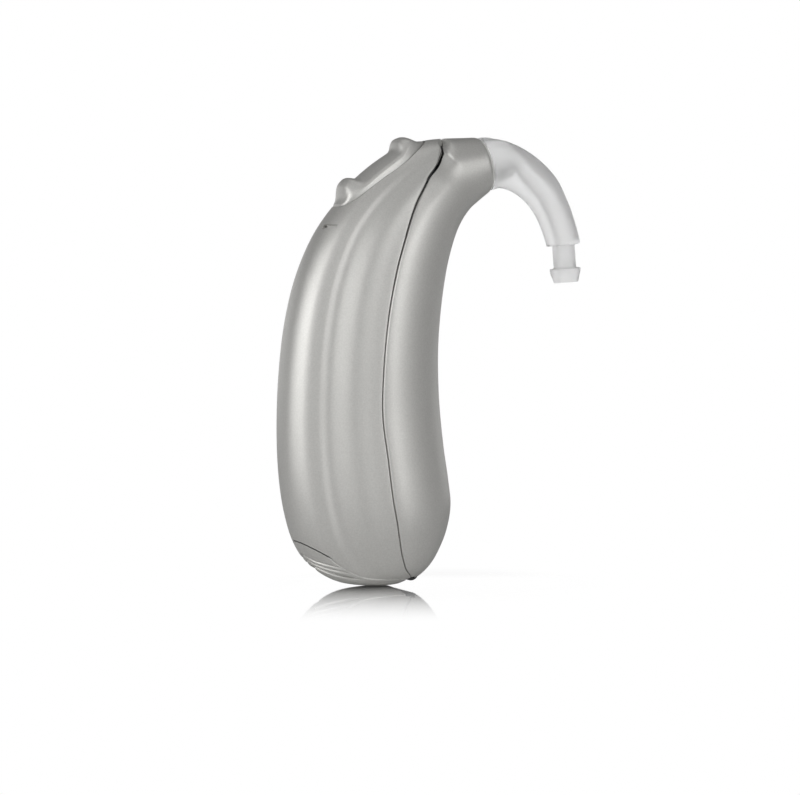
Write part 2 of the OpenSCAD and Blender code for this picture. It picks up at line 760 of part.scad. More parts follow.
// Circuit board on the chassis, with its chips on the near face.
board_gap = 0.55;
board_y = plate_y - board_gap - board_thickness;
board_shares = [[7.0, -0.56], [8.5, -0.58], [10, -0.58], [11.1, -0.55], [11.1, -0.08], [10, -0.04], [8.5, -0.04],
  [7.0, -0.06]];
standoff_radius = 0.5;
standoff_shares = [[7.4, -0.3], [10.7, -0.3]];
module circuit_board() {
  color([0.1, 0.35, 0.2]) plate(board_y, board_y + board_thickness) inner_outline(board_shares);
}
module board_standoffs() {
  color([0.7, 0.6, 0.3])
    plate(board_y + board_thickness, plate_y)
      for (share = standoff_shares)
        translate(inside(share.x, share.y)) circle(r = standoff_radius, $fn = round_fine);
}
processor_size = [3.2, 0.9, 4.2];
memory_size = [2.6, 0.72, 2.2];
chip_station = [9.1, 10.45];
capacitor_station = 7.75;
chip_line_share = -0.31;
capacitor_step_share = 0.14;
module on_board(station, share, height) {
  in_body(station, share, board_y - height / 2) children();
}
module processor_chip() {
  color([0.08, 0.08, 0.09]) on_board(chip_station[0], chip_line_share, processor_size.y) block(processor_size);
}
module memory_chip() {
  color([0.1, 0.1, 0.12]) on_board(chip_station[1], chip_line_share, memory_size.y) block(memory_size);
}
capacitor_size = [0.8, 0.6, 1.4];
module capacitors() {
  color([0.6, 0.5, 0.35])
    for (i = [-1, 0, 1])
      on_board(capacitor_station, chip_line_share + i * capacitor_step_share, capacitor_size.y) block(capacitor_size);
}

// Microphones in rubber boots, one by the parting line and one under the rear slot.
boot_room = 0.04;
mic_boot_wall = 0.25;
mic_port_radius = 0.3;
mic_relief = 0.05;
mic_depth_share = 0.8;
mic_size = [mic_thickness, mic_length, mic_width * mic_depth_share];
boot_size = mic_size + 2 * (boot_room + mic_boot_wall) * [1, 1, 1];
mic_stations = [14.65, 11.8];
mic_side_shares = [-0.14, -0.5];
module mic_at(i) {
  in_body(mic_stations[i], mic_side_shares[i]) children();
}
module microphone(i) {
  color([0.75, 0.7, 0.6]) mic_at(i) difference() {
    block(mic_size);
    translate([-mic_thickness / 2 - overrun, 0, 0]) rotate([0, 90, 0])
      cylinder(r = mic_port_radius, h = 2 * overrun, $fn = round_fine);
  }
}
module mic_boot(i) {
  color([0.12, 0.12, 0.12]) mic_at(i) difference() {
    block(boot_size);
    block(mic_size + 2 * boot_room * [1, 1, 1]);
    translate([-mic_thickness, 0, 0]) rotate([0, 90, 0])
      cylinder(r = mic_port_radius, h = mic_thickness, $fn = round_fine);
  }
}
module front_microphone() {
  microphone(0);
}
module rear_microphone() {
  microphone(1);
}
module front_mic_boot() {
  mic_boot(0);
}
module rear_mic_boot() {
  mic_boot(1);
}

// Receiver in its rubber boot, and the tube that leads its sound to the spout.
receiver_station = 10.6;
receiver_share = 0.38;
receiver_y = -0.45;
receiver_size = [receiver_depth, receiver_thickness, receiver_length];
port_radius = 0.45;
module receiver() {
  color([0.75, 0.75, 0.77])
    in_body(receiver_station, receiver_share, receiver_y) difference() {
      block(receiver_size);
      translate([0, 0, receiver_length / 2 - overrun]) cylinder(r = port_radius, h = 2 * overrun, $fn = round_fine);
    }
}
module receiver_boot() {
  color([0.15, 0.15, 0.16])
    in_body(receiver_station, receiver_share, receiver_y) difference() {
      block(receiver_size + 2 * (boot_room + boot_wall) * [1, 1, 1]);
      block(receiver_size + 2 * boot_room * [1, 1, 1]);
      cylinder(r = port_radius, h = receiver_length, $fn = round_fine);
    }
}
tube_bore_radius = port_radius;
spout_tail = 2;
function on_axis(reach) = neck_centre + reach * aim(neck_tilt);
receiver_spot = inside(receiver_station, receiver_share);
receiver_up = aim(section_tilt(receiver_station) + 90);
tube_start = receiver_spot + (receiver_length / 2 + boot_room + boot_wall + touch) * receiver_up;
tube_end_gap = 0.2;
tube_elbow_share = 0.62;
tube_turn = [inside(13.3, 0.42), inside(14.4, 0.44)];
tube_path = [
  tube_turn[0] - receiver_length * receiver_up, tube_start, tube_turn[0], tube_turn[1],
  mix(tube_turn[1], on_axis(-spout_tail - tube_diameter / 3), tube_elbow_share),
  on_axis(-spout_tail - tube_end_gap), on_axis(0)
];
tube_steps = 20;
module receiver_tube() {
  last = len(tube_path) - 3;
  places = [for (i = [0:tube_steps]) last * i / tube_steps];
  outer = [for (p = tube_path) tube_diameter / 2];
  bore = [for (p = tube_path) tube_bore_radius];
  color([0.85, 0.6, 0.55]) difference() {
    loft(tube_rings(tube_path, outer, places, 14));
    loft(tube_rings(tube_path, bore, concat([-touch], places, [last + touch]), 10));
  }
}

// Telecoil: an upright winding on its core, on a bracket of the chassis side.
coil_station = 8.3;
coil_share = 0.34;
core_radius_share = 0.25;
winding_share = 0.8;
module telecoil_core() {
  color([0.3, 0.3, 0.32])
    in_body(coil_station, coil_share, 0)
      cylinder(r = coil_diameter * core_radius_share, h = coil_length, center = true, $fn = round_fine);
}
module telecoil_winding() {
  color([0.75, 0.42, 0.2])
    in_body(coil_station, coil_share, 0) difference() {
      cylinder(d = coil_diameter, h = coil_length * winding_share, center = true, $fn = round_fine);
      cylinder(r = coil_diameter * core_radius_share + touch, h = coil_length, center = true, $fn = round_fine);
    }
}

// Sound spout with its thread, drawn as parallel ridges.
thread_start = 0.5;
ridge_foot_share = 0.45;
ridge_crest_share = 0.12;
ridge_foot = thread_pitch * ridge_foot_share;
ridge_crest = thread_pitch * ridge_crest_share;
module sound_spout() {
  count = floor((spout_length - seal_thickness - thread_start) / thread_pitch);
  color([0.85, 0.85, 0.85])
    on_neck() difference() {
      union() {
        translate([0, 0, -spout_tail]) cylinder(d = spout_core, h = spout_tail + spout_length, $fn = round_fine);
        for (i = [0:count - 1])
          translate([0, 0, seal_thickness + thread_start + i * thread_pitch])
            rotate_extrude($fn = round_fine)
              polygon([[spout_core / 4, -ridge_foot], [spout_core / 2, -ridge_foot],
                [thread_diameter / 2, -ridge_crest], [thread_diameter / 2, ridge_crest],
                [spout_core / 2, ridge_foot], [spout_core / 4, ridge_foot]]);
      }
      translate([0, 0, -spout_tail - overrun])
        cylinder(d = sound_bore, h = spout_tail + spout_length + 2 * overrun, $fn = round_fine);
    }
}
socket_radius = thread_diameter / 2 + socket_clearance;
seal_room = 0.04;
seal_play = 0.06;
module hook_seal() {
  color([0.9, 0.9, 0.9])
    on_neck() translate([0, 0, touch]) rotate([0, 0, 180]) difference() {
      cylinder(r = neck_radius - wall / 4, h = seal_thickness - touch - seal_play, $fn = cell_fine);
      translate([0, 0, -overrun])
        cylinder(r = socket_radius + seal_room, h = seal_thickness + 2 * overrun, $fn = round_fine);
    }
}

// Ear hook: a bent, tapering tube with a threaded socket at one end and a stepped, barbed tip.
hook_reach_shares = [0, 0.10, 0.237, 0.404, 0.565, 0.709, 0.823, 0.903, 0.978];
hook_rise_shares = [0, 0.018, 0.015, -0.043, -0.153, -0.309, -0.517, -0.725, -0.991];
hook_width_shares = [1, 0.97, 0.885, 0.81, 0.76, 0.72, 0.655, 0.63, 0.61];
hook_tip_tilt = 4.8;
hook_count = len(hook_reach_shares);
hook_end_share = hook_width_shares[hook_count - 1];
hook_foot_share = 0.96;
hook_base = neck_centre + seal_thickness * aim(neck_tilt);
hook_end = neck_centre + [hook_reach * hook_reach_shares[hook_count - 1], -hook_drop];
hook_down = aim(hook_tip_tilt - 90);
hook_points = concat(
  [hook_base],
  [for (i = [1:hook_count - 2]) neck_centre + [hook_reach * hook_reach_shares[i], hook_drop * hook_rise_shares[i]]],
  [hook_end]);
hook_line = concat(
  [hook_points[1] - 2 * norm(hook_points[1] - hook_base) * aim(neck_tilt)], hook_points, [hook_end + hook_down]);
hook_radii = carried(
  concat([for (i = [0:hook_count - 2]) mix(hook_end_diameter, neck_diameter - wall / 3,
    (hook_width_shares[i] - hook_end_share) / (1 - hook_end_share)) / 2], [hook_end_diameter / 2]), neck_radius);
hook_rings = 24;
hook_sides = 24;
bore_rings = 12;
socket_depth = spout_length - seal_thickness + 0.15;
socket_end = seal_thickness + socket_depth;
socket_lead = 1.15;
bore_turn_share = 0.35;
bore_line = concat(
  [on_axis(socket_end - 2 * socket_lead), on_axis(socket_end - socket_lead),
    mix(on_axis(socket_end + sound_bore / 5), hook_points[3], bore_turn_share)],
  [for (i = [4:hook_count - 2]) hook_points[i]], [hook_end, hook_end + hook_down]);
bore_step_share = 0.46;
bore_radii = [for (p = bore_line) sound_bore * bore_step_share];
module on_tip() {
  translate([hook_end.x, 0, hook_end.y]) rotate([0, 180 - hook_tip_tilt, 0]) children();
}
tip_root = 0.3;
module earhook() {
  last = hook_count - 1;
  places = [for (i = [0:hook_rings]) last * i / hook_rings];
  bore_last = len(bore_line) - 3;
  bore_places = [for (i = [0:bore_rings]) bore_last * i / bore_rings];
  step = (hook_end_diameter - waist_diameter) / 4;
  color([0.85, 0.88, 0.9, 0.5])
    difference() {
      union() {
        loft(tube_rings(hook_line, hook_radii, places, hook_sides));
        on_tip() rotate_extrude($fn = cell_fine)
          polygon([[0, -tip_root], [hook_end_diameter / 2 * hook_foot_share, -tip_root],
            [hook_end_diameter / 2 * hook_foot_share, step / 2], [waist_diameter / 2, step],
            [waist_diameter / 2, step + waist_length], [barb_diameter / 2, step + waist_length],
            [barb_diameter / 2, step + waist_length + barb_land],
            [barb_end_diameter / 2, step + waist_length + barb_land + barb_taper],
            [0, step + waist_length + barb_land + barb_taper]]);
      }
      loft(tube_rings(bore_line, bore_radii, bore_places, 12));
      on_tip() translate([0, 0, -tip_root])
        cylinder(d = sound_bore, h = hook_end_diameter + waist_length + barb_land + barb_taper,
          $fn = round_fine);
      on_neck() translate([0, 0, seal_thickness - overrun])
        cylinder(r = socket_radius, h = socket_depth + overrun, $fn = round_fine);
    }
}

rear_housing();
front_housing();
casing_gasket();
rocker_button();
rocker_pivot_pin();
up_plunger();
down_plunger();
up_switch();
down_switch();
battery_door();
door_hinge_pin();
battery_can();
battery_seal();
battery_cap();
positive_contact();
negative_contact();
chassis();
circuit_board();
board_standoffs();
processor_chip();
memory_chip();
capacitors();
front_microphone();
rear_microphone();
front_mic_boot();
rear_mic_boot();
receiver();
receiver_boot();
receiver_tube();
telecoil_core();
telecoil_winding();
sound_spout();
hook_seal();
earhook();
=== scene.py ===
import math

import bmesh
import bpy
import numpy as np
from mathutils import Matrix, Vector


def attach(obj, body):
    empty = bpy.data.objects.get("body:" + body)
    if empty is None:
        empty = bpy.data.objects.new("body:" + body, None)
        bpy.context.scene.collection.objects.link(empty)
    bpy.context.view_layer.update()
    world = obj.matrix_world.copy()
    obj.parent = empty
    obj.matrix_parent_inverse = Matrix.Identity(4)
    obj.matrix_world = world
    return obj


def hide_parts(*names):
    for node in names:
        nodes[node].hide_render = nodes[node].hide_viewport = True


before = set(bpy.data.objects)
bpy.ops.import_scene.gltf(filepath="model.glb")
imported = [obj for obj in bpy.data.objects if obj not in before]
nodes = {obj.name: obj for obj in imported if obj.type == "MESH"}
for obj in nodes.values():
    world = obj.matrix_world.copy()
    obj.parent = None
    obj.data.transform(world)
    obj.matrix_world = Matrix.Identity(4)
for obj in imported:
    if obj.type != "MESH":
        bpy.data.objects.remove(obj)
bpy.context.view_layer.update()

MM = 0.001


# Casing: two moulded shells in satin silver lacquer, split by a fine parting line.
# The skin is drawn from the side view of its spine and front, its thickness and its section,
# so every piece that lies in it, such as the door and the rocker, takes its place from here.
depth, height, thickness, wall = 16.6, 44.4, 11.4, 0.9
middle_share = 0.471


def side(share):
    """Side-view place in mm of a point given in shares of the depth and the height."""
    share = np.asarray(share, float)
    return np.stack([depth * (share[..., 0] - middle_share), height * share[..., 1]], -1)


def aim(degrees):
    return np.array([math.cos(math.radians(degrees)), math.sin(math.radians(degrees))])


def carried(values, before):
    """A list with the value before it and one carried on after it, for along to read."""
    values = np.asarray(values, float)
    return np.concatenate([[before], values, [2 * values[-1] - values[-2]]])


def along(line, station):
    """Smooth value of a list at a station."""
    station = np.asarray(station, float)
    i = np.clip(np.floor(station).astype(int), 0, len(line) - 4)
    f = station - i
    a, b, c, d = line[i], line[i + 1], line[i + 2], line[i + 3]
    if line.ndim > 1:
        f = f[..., None]
    return b + f / 2 * (c - a + f * (2 * a - 5 * b + 4 * c - d + f * (3 * b - a - 3 * c + d)))


spine_shares = [
    [0.312, 0.0158], [0.208, 0.0027], [0.060, 0.000], [-0.142, 0.0113], [-0.302, 0.0473],
    [-0.398, 0.0946], [-0.458, 0.162], [-0.494, 0.2455], [-0.507, 0.349], [-0.495, 0.471],
    [-0.455, 0.592], [-0.380, 0.698], [-0.259, 0.793], [-0.084, 0.874], [0.139, 0.944], [0.390, 0.992]]
front_shares = [
    [0.312, 0.0158], [0.370, 0.028], [0.437, 0.053], [0.489, 0.083], [0.539, 0.126],
    [0.564, 0.180], [0.548, 0.239], [0.517, 0.3176], [0.491, 0.419], [0.485, 0.5225],
    [0.503, 0.615], [0.539, 0.703], [0.587, 0.769], [0.6355, 0.8097], [0.696, 0.840], [0.753, 0.858]]
neck_centre, neck_radius, neck_tilt = side([0.785, 0.942]), 2.85, 14
neck_station = 16
spine_line = carried(np.vstack([side(spine_shares), neck_centre + neck_radius * aim(neck_tilt + 90)]),
                     side(front_shares[1]))
front_line = carried(np.vstack([side(front_shares), neck_centre - neck_radius * aim(neck_tilt + 90)]),
                     side(spine_shares[1]))
half_shares = np.array([0, 0.193, 0.316, 0.404, 0.456, 0.491, 0.5, 0.491, 0.478, 0.474, 0.465, 0.452,
                        0.430, 0.395, 0.346, 0.294])
half_line = carried(np.append(half_shares * thickness, neck_radius), -thickness * half_shares[1])
round_line = carried([1, 0.8, 0.5, 0.25, 0.08, 0, 0, 0, 0, 0, 0, 0, 0.05, 0.2, 0.45, 0.75, 1], 1)
seam_shares = [0.46, 0.470, 0.500, 0.528, 0.540, 0.543, 0.545, 0.549, 0.542, 0.547, 0.55, 0.55, 0.539,
               0.50, 0.433, 0.297]
seam_line = carried(np.append(seam_shares, -seam_shares[-1]), seam_shares[1])
seam_top = neck_station * 0.962
section_shares = np.array([
    [-1, 0], [-0.965, 0.30], [-0.84, 0.545], [-0.68, 0.640], [-0.52, 0.680], [-0.29, 0.850],
    [-0.06, 0.925], [0.20, 0.995], [0.47, 0.940], [0.70, 0.79], [0.86, 0.57], [0.965, 0.29], [1, 0]])
section_line = np.vstack([section_shares[1] * [1, -1], section_shares, section_shares[-2] * [1, -1]])
section_step = 15


def skin(station, turn, inset=0.0):
    """Points of the skin in mm. Turn is in degrees from the spine, above zero on the near side."""
    station, turn, inset = np.broadcast_arrays(station, turn, inset)
    back, face = along(spine_line, station), along(front_line, station)
    chord = np.linalg.norm(face - back, axis=-1, keepdims=True)
    forward = (face - back) / np.maximum(chord, 1e-9)
    half = chord[..., 0] / 2 - inset
    across = along(half_line, station) - inset
    folded = np.abs(turn)
    rounded = np.clip(along(round_line, station), 0, 1)[..., None]
    plain = np.stack([-np.cos(np.radians(folded)), np.sin(np.radians(folded))], -1)
    shape = along(section_line, folded / section_step) * (1 - rounded) + plain * rounded
    flat = (back + face) / 2 + forward * (half * shape[..., 0])[..., None]
    y = np.where(turn >= 0, -1, 1) * across * shape[..., 1]
    return np.stack([flat[..., 0], y, flat[..., 1]], -1)


def seam_turn(station):
    """Turn at which the parting line crosses a station. It closes over the spine at its top."""
    closing = np.clip((seam_top - station) / 0.3, 0, 1) ** 0.5
    return 180 * np.maximum(along(seam_line, station), 0) * closing


def soften(piece, angle):
    """Smooth shading, kept sharp where faces meet at more than an angle."""
    piece.data.shade_smooth()
    piece.data.set_sharp_from_angle(angle=math.radians(angle))


def solid(name, points, faces, smooth=35):
    """A closed mesh from points in mm, with doubles merged and its faces turned outwards."""
    mesh = bpy.data.meshes.new(name)
    mesh.from_pydata((np.asarray(points) * MM).tolist(), [], faces)
    work = bmesh.new()
    work.from_mesh(mesh)
    bmesh.ops.remove_doubles(work, verts=work.verts, dist=5e-8)
    bmesh.ops.recalc_face_normals(work, faces=work.faces)
    work.to_mesh(mesh)
    work.free()
    piece = bpy.data.objects.new(name, mesh)
    bpy.context.scene.collection.objects.link(piece)
    soften(piece, smooth)
    return piece


def grid_faces(rows, columns, closed=False):
    """Faces of a grid of points, row by row. A closed one joins its last column to its first."""
    steps = columns if closed else columns - 1
    return [(r * columns + c, r * columns + (c + 1) % columns, (r + 1) * columns + (c + 1) % columns,
             (r + 1) * columns + c) for r in range(rows - 1) for c in range(steps)]


casing_stations = np.concatenate([
    [0, 0.03, 0.08, 0.15, 0.25, 0.4], np.linspace(0.55, 13.4, 190),
    np.linspace(13.44, seam_top, 70), np.linspace(seam_top + 0.02, 15.94, 16)])
shell_columns = 110
edge_radius, least_gap, half_gap = 0.12, 0.03, 0.055
edge_turns = np.radians([0, 22, 45, 68, 90])
edge_places = edge_radius * (1 - np.cos(edge_turns))
edge_insets = edge_radius * (1 - np.sin(edge_turns))
cavity_first, cavity_last = 2.15, 15.6
notch_start, notch_length, notch_power = 12.9, 2.2, 2.2
front_opening, rear_opening = 0.07, 0.11
scoop_width, scoop_depth = 1.25, 0.62
neck_lip, neck_steps = 0.15, [(2.2, 0), (1.6, 0), (1.25, 0), (1.25, -1.0)]


def notch(station):
    """How far the front microphone's notch opens the parting line, 0 to 1."""
    rise = np.clip((station - notch_start) / notch_length, 0, 1) ** notch_power
    return rise * np.clip((seam_top + 0.05 - station) / 0.12, 0, 1) ** 0.5


def neck_rings(turns):
    """Rings over the end of the neck, from its rounded lip in to the spout's seat."""
    centre = np.array([neck_centre[0], 0, neck_centre[1]])
    axis = np.array([aim(neck_tilt)[0], 0, aim(neck_tilt)[1]])
    rise = np.array([-axis[2], 0, axis[0]])
    lip = [(neck_radius - neck_lip * (1 - math.cos(a)), -neck_lip + neck_lip * math.sin(a))
           for a in edge_turns]
    rings = []
    for r, h in lip + neck_steps:
        ring = centre + axis * h + r * (np.cos(np.radians(turns))[:, None] * rise)
        ring[:, 1] -= r * np.sin(np.radians(turns))
        rings.append(ring[None])
    return rings


def shell(name, front):
    """One casing shell: outer and inner skins from one set of rows, joined round the edge."""
    half = shell_columns // 2
    s = casing_stations[:, None]
    edge = seam_turn(s)
    start, end = (edge, 180 + 0 * edge) if front else (0 * edge, edge)
    line = skin(s, start + (end - start) * np.linspace(0, 1, 50)[None])
    length = np.linalg.norm(np.diff(line, axis=1), axis=-1).sum(1)[:, None] + 1e-9
    gap = least_gap + half_gap * np.clip((s - 9) / 4, 0.15, 1) + notch(s) * (
        front_opening if front else rear_opening)
    place = np.minimum((gap + edge_places[None]) / length, 0.3) * np.clip((seam_top - s) / 0.1, 0, 1)
    body = place[:, -1:] + (1 - place[:, -1:]) * (np.linspace(0, 1, half + 1)[None, 1:])
    share = np.concatenate([place, body], 1)
    roll = np.concatenate([edge_insets, np.zeros(half)])[None] * (
        np.clip((seam_top - s) / 0.15, 0, 1) * np.clip(s / 0.15, 0, 1))
    if front:
        roll = roll + np.exp(-((share * length - gap) / scoop_width) ** 2) * notch(s) * scoop_depth
        turn = start + (end - start) * share
    else:
        turn = edge * (1 - share)
    turn = np.concatenate([turn, -turn[:, -2::-1]], 1)
    roll = np.concatenate([roll, roll[:, -2::-1]], 1)
    if not front:
        keep = casing_stations <= seam_top + 1e-9
        s, turn, roll = s[keep], turn[keep], roll[keep]
    outer = skin(s, turn, roll)
    sunk = np.clip(s, cavity_first, cavity_last)
    inner = skin(sunk, turn, wall)
    core = (along(spine_line, sunk) + along(front_line, sunk)) / 2
    core = np.stack([core[..., 0], 0 * core[..., 0], core[..., 1]], -1)
    inner = core + (inner - core) * np.clip(s / cavity_first, 0, 1)[..., None]
    rows = [outer] + (neck_rings(turn[-1]) if front else []) + [inner[::-1]]
    points = np.concatenate(rows)
    count, width = points.shape[:2]
    faces = grid_faces(count, width)
    open_rows = int((s[:, 0] <= seam_top + 1e-9).sum())
    for k in range(open_rows - 1):
        for c in (0, width - 1):
            faces.append((k * width + c, (k + 1) * width + c, (count - 2 - k) * width + c,
                          (count - 1 - k) * width + c))
    return solid(name, points.reshape(-1, 3), faces)


casing_rear = shell("casing_rear", False)
casing_front = shell("casing_front", True)


# Openings in the casing: the battery door's in its lower end, the rocker's pocket in the spine,
# and the rear microphone's slot. They are moulded through the wall, so the shells are cut here.
hinge_place = side([0.274, 0.0304])
door_radius, opening_radius, opening_gap = 9.62, 9.87, 0.09
door_free, door_grip = (5.15, 0), (4.2, 36)
opening_width, cell_width, relief_radius = 6.26, 5.7, 1.05
cell_place = hinge_place + door_radius * 0.606 * aim(141.3)
slot_start, slot_end = (12.06, 8), (12.1, 26)


def cut(piece, tool, how="DIFFERENCE", angle=35):
    """Cuts, joins or crops a piece with a tool, which goes. An open mesh stops the script."""
    for mesh in (piece.data, tool.data):
        work = bmesh.new()
        work.from_mesh(mesh)
        holes = sum(len(e.link_faces) != 2 for e in work.edges)
        work.free()
        if holes:
            raise ValueError("%s is open at %d edges" % (mesh.name, holes))
    boolean = piece.modifiers.new("cut", "BOOLEAN")
    boolean.operation, boolean.solver, boolean.object = how, "MANIFOLD", tool
    shaped = piece.evaluated_get(bpy.context.evaluated_depsgraph_get())
    made = bpy.data.meshes.new_from_object(shaped)
    piece.modifiers.clear()
    old = piece.data
    piece.data = made
    made.name = piece.name
    bpy.data.meshes.remove(old)
    bpy.data.meshes.remove(tool.data)
    soften(piece, angle)


def ends(rows, columns):
    """The two end faces of a tube of points, row by row."""
    return [tuple(range(columns)), tuple(range((rows - 1) * columns, rows * columns))[::-1]]


def prism(name, outline, width):
    """A side-view outline of X and Z points, drawn out evenly to both sides."""
    n = len(outline)
    points = [(x, y, z) for y in (-width / 2, width / 2) for x, z in outline]
    return solid(name, points, ends(2, n) + grid_faces(2, n, closed=True))


def disc(place, radius, steps=64):
    turns = np.linspace(0, 360, steps, endpoint=False)
    return [(place[0] + radius * math.cos(math.radians(t)), place[1] + radius * math.sin(math.radians(t)))
            for t in turns]


def upright_bar(name, place, radius, width):
    return prism(name, disc(place, radius, 48), width)


def flat(point):
    return np.array([point[0], point[2]])


def around(place, radius, bearings):
    return [tuple(place + radius * aim(b)) for b in bearings]


def door_outline(gap):
    """The door's side outline: a slanted free edge over the thumb grip, then down to the hinge."""
    top, low = flat(skin(*door_free)), flat(skin(*door_grip))
    run = (low - top) / np.linalg.norm(low - top)
    up = np.array([-run[1], run[0]]) * gap
    return [tuple(top - run * wall + up), tuple(low + up), (hinge_place[0], low[1] + gap),
            tuple(hinge_place)]


rocker_low, rocker_high = (along(spine_line, neck_station * share) for share in (0.789, 0.940))
rocker_middle = (rocker_low + rocker_high) / 2
chord = (rocker_high - rocker_low) / np.linalg.norm(rocker_high - rocker_low)
outward = np.array([-chord[1], chord[0]])
rocker_length, rocker_width = 11.3, 4.6
pocket_gap, pocket_depth = 0.17, 2.6


def in_rocker(x, y, z):
    """Points of the rocker's frame, X along its chord and Z outwards, in the part's frame."""
    x, y, z = np.broadcast_arrays(x, y, z)
    flat_place = rocker_middle + x[..., None] * chord + z[..., None] * outward
    return np.stack([flat_place[..., 0], y, flat_place[..., 1]], -1)


def rocker_half(reach):
    """Half the rocker's width at a reach along it. Its lower end is the squarer one."""
    t = np.clip(np.asarray(reach) * 2 / rocker_length, -1, 1)
    power = np.where(t < 0, 3.4, 2.2)
    return rocker_width / 2 * (1 - np.abs(t) ** power) ** (1 / power)


def pocket_tool(name, gap):
    """The rocker's outline, set out by a gap and drawn through the wall."""
    t = -np.cos(np.linspace(0, np.pi, 61)) * rocker_length / 2
    half = rocker_half(t)
    loop = np.concatenate([np.stack([t, -half], -1), np.stack([t, half], -1)[-2:0:-1]])
    ahead = np.roll(loop, -1, 0) - np.roll(loop, 1, 0)
    out_way = np.stack([ahead[:, 1], -ahead[:, 0]], -1)
    loop = loop + gap * out_way / np.linalg.norm(ahead, axis=1)[:, None]
    n = len(loop)
    points = np.concatenate([in_rocker(loop[:, 0], loop[:, 1], z) for z in (-pocket_depth, pocket_depth)])
    return solid(name, points, ends(2, n) + grid_faces(2, n, closed=True))


def rings_tool(name, centres, radii, steps=20):
    """A round tool through given centres, for slots and bores."""
    centres, radii = np.asarray(centres, float), np.asarray(radii, float)
    ahead = np.gradient(centres, axis=0)
    ahead /= np.linalg.norm(ahead, axis=1)[:, None]
    a = np.cross(ahead, [0.3, 0.2, 0.93])
    a /= np.linalg.norm(a, axis=1)[:, None]
    b = np.cross(ahead, a)
    turns = np.radians(np.arange(steps) * 360 / steps)
    rings = centres[:, None] + radii[:, None, None] * (
        np.cos(turns)[None, :, None] * a[:, None] + np.sin(turns)[None, :, None] * b[:, None])
    count = len(centres)
    return solid(name, rings.reshape(-1, 3), grid_faces(count, steps, closed=True) + ends(count, steps))


for shell_piece in (casing_rear, casing_front):
    door_hole = door_outline(opening_gap) + around(hinge_place, opening_radius, range(300, 222, -20))
    cell_hole = [tuple(hinge_place)] + around(hinge_place, opening_radius, range(141, 301, 4))
    cut(shell_piece, prism("door_tool", door_hole + [(-depth, -wall)], opening_width))
    cut(shell_piece, prism("cell_tool", cell_hole, cell_width))
    cut(shell_piece, upright_bar("relief_tool", hinge_place, relief_radius, 4.95))
cut(casing_rear, pocket_tool("pocket_tool", pocket_gap))
share = np.linspace(0, 1, 9)[:, None]
slot_line = skin(*slot_start) * (1 - share) + skin(*slot_end) * share
cut(casing_rear, rings_tool("slot_tool", slot_line, 0.30 - 0.20 * share[:, 0]))
cut(casing_rear, rings_tool("port_tool", [skin(*slot_start, inset) for inset in (-0.3, 0.4, 1.4)],
                            [0.2, 0.2, 0.2]))


# Satin lacquer of the casing, the door and the rocker: fine metal flake under a thin matt lacquer,
# a little duller in places where fingers touch it. The flake also gives it a very fine grain.
class Wire:
    """A value in a material's nodes. Arithmetic on it adds Math nodes."""

    def __init__(self, tree, socket):
        self.tree, self.socket = tree, socket

    def node(self, kind, settings=None, values=None, out=0):
        """Adds any other node: its settings first, then the values or links of its sockets."""
        made = self.tree.nodes.new(kind)
        for name, value in (settings or {}).items():
            setattr(made, name, value)
        for name, value in (values or {}).items():
            if isinstance(value, Wire):
                self.tree.links.new(value.socket, made.inputs[name])
            else:
                made.inputs[name].default_value = value
        return Wire(self.tree, made.outputs[out])

    def maths(self, operation, *values):
        return self.node("ShaderNodeMath", {"operation": operation}, dict(enumerate(values)))

    def __add__(self, other):
        return self.maths("ADD", self, other)

    def __sub__(self, other):
        return self.maths("SUBTRACT", self, other)

    def __rsub__(self, other):
        return self.maths("SUBTRACT", other, self)

    def __mul__(self, other):
        return self.maths("MULTIPLY", self, other)

    __radd__, __rmul__ = __add__, __mul__


def finish_of(name, **constants):
    """A material, its shader and its object coordinates. Constants go on the shader itself."""
    made = bpy.data.materials.new(name)
    made.use_nodes = True
    shader = made.node_tree.nodes["Principled BSDF"]
    for socket, value in constants.items():
        shader.inputs[socket.replace("_", " ")].default_value = value
    place = Wire(made.node_tree, made.node_tree.nodes.new("ShaderNodeTexCoord").outputs["Object"])
    return made, shader, place


def wire_up(wire, shader, socket):
    wire.tree.links.new(wire.socket, shader.inputs[socket])


def between(wire, low, high):
    """A wire that runs 0 to 1 as a colour between two greys or tints."""
    return wire.node("ShaderNodeMix", {"data_type": "RGBA"}, {0: wire, 6: (*low, 1), 7: (*high, 1)}, out=2)


def grain_of(place, scale, detail=2.0):
    return place.node("ShaderNodeTexNoise", {}, {"Vector": place, "Scale": scale, "Detail": detail})


def raised(wire, strength, distance):
    return wire.node("ShaderNodeBump", {}, {"Height": wire, "Strength": strength, "Distance": distance})


def coat_piece(piece, material):
    piece.data.materials.clear()
    piece.data.materials.append(material)


satin, shader, place = finish_of("satin_silver", Metallic=0.6, Specular_IOR_Level=0.4)
flake, cloud = grain_of(place, 6500.0, 3.0), grain_of(place, 160.0, 3.0)
wire_up(between(flake, (0.53, 0.525, 0.505), (0.69, 0.685, 0.662)), shader, "Base Color")
wire_up(0.40 + 0.05 * cloud + 0.04 * flake, shader, "Roughness")
wire_up(raised(flake, 0.06, 0.00001), shader, "Normal")
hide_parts("rear_housing")
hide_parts("front_housing")
for piece in (casing_rear, casing_front):
    coat_piece(piece, satin)
    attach(piece, "case")


